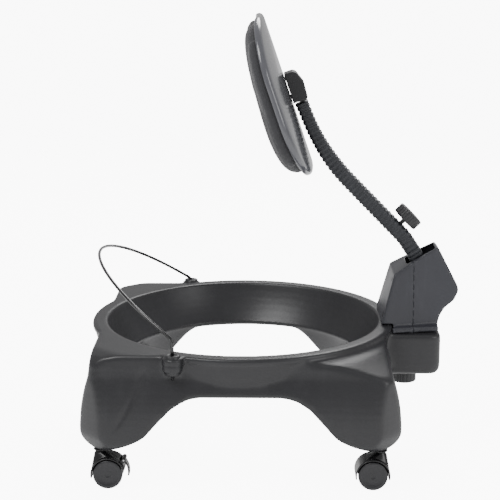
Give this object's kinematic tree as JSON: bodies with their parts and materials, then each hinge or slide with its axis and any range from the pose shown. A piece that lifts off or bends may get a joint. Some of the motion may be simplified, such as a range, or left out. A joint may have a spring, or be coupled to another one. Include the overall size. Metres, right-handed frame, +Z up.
{
  "type": "balance ball chair frame",
  "caption": "Wheeled ring base that holds an exercise ball as a seat, with a wire retaining bar and a height-adjustable padded backrest.",
  "frame": {"origin": "on the floor, on the ring's upright axis", "axes": "+X towards the back of the chair, +Y to the sitter's right, +Z up"},
  "size_m": [0.6657, 0.557, 0.7823],
  "materials": {
    "frame_plastic": "satin moulded",
    "housing_plastic": "satin moulded",
    "black_steel": "black",
    "black_wire": "gloss black",
    "nylon": "matte",
    "hood_plastic": "gloss black",
    "wheel_plastic": "satin",
    "knob_plastic": "satin",
    "sleeve_rubber": "matte",
    "shell_plastic": "gloss",
    "board_wood": "plain",
    "pad_fabric": "matte",
    "painted_bar": "powder coat",
    "plated_steel": "zinc plated"
  },
  "bodies": {
    "base": {"base_frame": "frame_plastic", "caster_sockets": "nylon", "bar_grommets": "nylon", "housing_front": "housing_plastic", "housing_rear": "housing_plastic", "housing_screws": "black_steel", "bracket_core": "painted_bar", "core_nut": "plated_steel", "base_knob_washer": "plated_steel", "lower_bar": "painted_bar", "bar_bolts": "plated_steel", "bar_nuts": "plated_steel", "guide_channel": "painted_bar", "guide_strap": "painted_bar", "bellows_sleeve": "sleeve_rubber", "caster_stem_front_left": "plated_steel", "caster_stem_front_right": "plated_steel", "caster_stem_rear_left": "plated_steel", "caster_stem_rear_right": "plated_steel"},
    "retaining_bar": {"retaining_bar": "black_wire"},
    "caster_front_left": {"caster_hood_front_left": "hood_plastic", "caster_axle_front_left": "plated_steel", "brake_pin_front_left": "plated_steel"},
    "wheel_front_left_inner": {"wheel_front_left_inner": "wheel_plastic"},
    "wheel_front_left_outer": {"wheel_front_left_outer": "wheel_plastic"},
    "brake_front_left": {"brake_lever_front_left": "hood_plastic"},
    "caster_front_right": {"caster_hood_front_right": "hood_plastic", "caster_axle_front_right": "plated_steel", "brake_pin_front_right": "plated_steel"},
    "wheel_front_right_inner": {"wheel_front_right_inner": "wheel_plastic"},
    "wheel_front_right_outer": {"wheel_front_right_outer": "wheel_plastic"},
    "brake_front_right": {"brake_lever_front_right": "hood_plastic"},
    "caster_rear_left": {"caster_hood_rear_left": "hood_plastic", "caster_axle_rear_left": "plated_steel"},
    "wheel_rear_left_inner": {"wheel_rear_left_inner": "wheel_plastic"},
    "wheel_rear_left_outer": {"wheel_rear_left_outer": "wheel_plastic"},
    "caster_rear_right": {"caster_hood_rear_right": "hood_plastic", "caster_axle_rear_right": "plated_steel"},
    "wheel_rear_right_inner": {"wheel_rear_right_inner": "wheel_plastic"},
    "wheel_rear_right_outer": {"wheel_rear_right_outer": "wheel_plastic"},
    "height_knob": {"height_knob": "knob_plastic", "height_knob_stud": "plated_steel", "clamp_pad": "nylon"},
    "base_knob": {"base_knob": "knob_plastic", "base_knob_stud": "plated_steel"},
    "back_arm": {"upper_bar": "painted_bar", "pivot_bushes": "nylon"},
    "backrest": {"pivot_bracket": "painted_bar", "pivot_bolt": "plated_steel", "pivot_clip": "plated_steel", "bracket_screws": "plated_steel", "pivot_cover": "knob_plastic", "back_shell": "shell_plastic", "pad_board": "board_wood", "pad_cushion": "pad_fabric"}
  },
  "joints": [
    {"name": "bar_lift", "type": "slide", "parent": "base", "child": "retaining_bar", "axis": [0, 0, 1], "range_m": [0, 0.04]},
    {"name": "swivel_front_left", "type": "hinge", "parent": "base", "child": "caster_front_left", "pos_m": [-0.237, -0.237, 0.05], "axis": [0, 0, 1], "continuous": true},
    {"name": "roll_front_left_inner", "type": "hinge", "parent": "caster_front_left", "child": "wheel_front_left_inner", "pos_m": [-0.224, -0.237, 0.025], "axis": [0, 1, 0], "continuous": true},
    {"name": "roll_front_left_outer", "type": "hinge", "parent": "caster_front_left", "child": "wheel_front_left_outer", "pos_m": [-0.224, -0.237, 0.025], "axis": [0, 1, 0], "continuous": true},
    {"name": "brake_press_front_left", "type": "hinge", "parent": "caster_front_left", "child": "brake_front_left", "pos_m": [-0.19757, -0.237, 0.04718], "axis": [0, 1, 0], "range_deg": [0, 10]},
    {"name": "swivel_front_right", "type": "hinge", "parent": "base", "child": "caster_front_right", "pos_m": [-0.237, 0.237, 0.05], "axis": [0, 0, 1], "continuous": true},
    {"name": "roll_front_right_inner", "type": "hinge", "parent": "caster_front_right", "child": "wheel_front_right_inner", "pos_m": [-0.224, 0.237, 0.025], "axis": [0, 1, 0], "continuous": true},
    {"name": "roll_front_right_outer", "type": "hinge", "parent": "caster_front_right", "child": "wheel_front_right_outer", "pos_m": [-0.224, 0.237, 0.025], "axis": [0, 1, 0], "continuous": true},
    {"name": "brake_press_front_right", "type": "hinge", "parent": "caster_front_right", "child": "brake_front_right", "pos_m": [-0.19757, 0.237, 0.04718], "axis": [0, 1, 0], "range_deg": [0, 10]},
    {"name": "swivel_rear_left", "type": "hinge", "parent": "base", "child": "caster_rear_left", "pos_m": [0.237, -0.237, 0.05], "axis": [0, 0, 1], "continuous": true},
    {"name": "roll_rear_left_inner", "type": "hinge", "parent": "caster_rear_left", "child": "wheel_rear_left_inner", "pos_m": [0.224, -0.237, 0.025], "axis": [0, 1, 0], "continuous": true},
    {"name": "roll_rear_left_outer", "type": "hinge", "parent": "caster_rear_left", "child": "wheel_rear_left_outer", "pos_m": [0.224, -0.237, 0.025], "axis": [0, 1, 0], "continuous": true},
    {"name": "swivel_rear_right", "type": "hinge", "parent": "base", "child": "caster_rear_right", "pos_m": [0.237, 0.237, 0.05], "axis": [0, 0, 1], "continuous": true},
    {"name": "roll_rear_right_inner", "type": "hinge", "parent": "caster_rear_right", "child": "wheel_rear_right_inner", "pos_m": [0.224, 0.237, 0.025], "axis": [0, 1, 0], "continuous": true},
    {"name": "roll_rear_right_outer", "type": "hinge", "parent": "caster_rear_right", "child": "wheel_rear_right_outer", "pos_m": [0.224, 0.237, 0.025], "axis": [0, 1, 0], "continuous": true},
    {"name": "height_knob_turn", "type": "hinge", "parent": "base", "child": "height_knob", "pos_m": [0.27499, 0, 0.39916], "axis": [0.7145, 0, 0.6997], "continuous": true},
    {"name": "base_knob_turn", "type": "hinge", "parent": "base", "child": "base_knob", "pos_m": [0.296, 0, 0.125], "axis": [0, 0, 1], "continuous": true},
    {"name": "backrest_height", "type": "slide", "parent": "base", "child": "back_arm", "axis": [-0.6997, 0, 0.7145], "range_m": [0, 0.035], "deforming": ["bellows_sleeve"]},
    {"name": "backrest_tilt", "type": "hinge", "parent": "back_arm", "child": "backrest", "pos_m": [0.09137, 0, 0.65581], "axis": [0, 1, 0], "range_deg": [0, 10]}
  ]
}
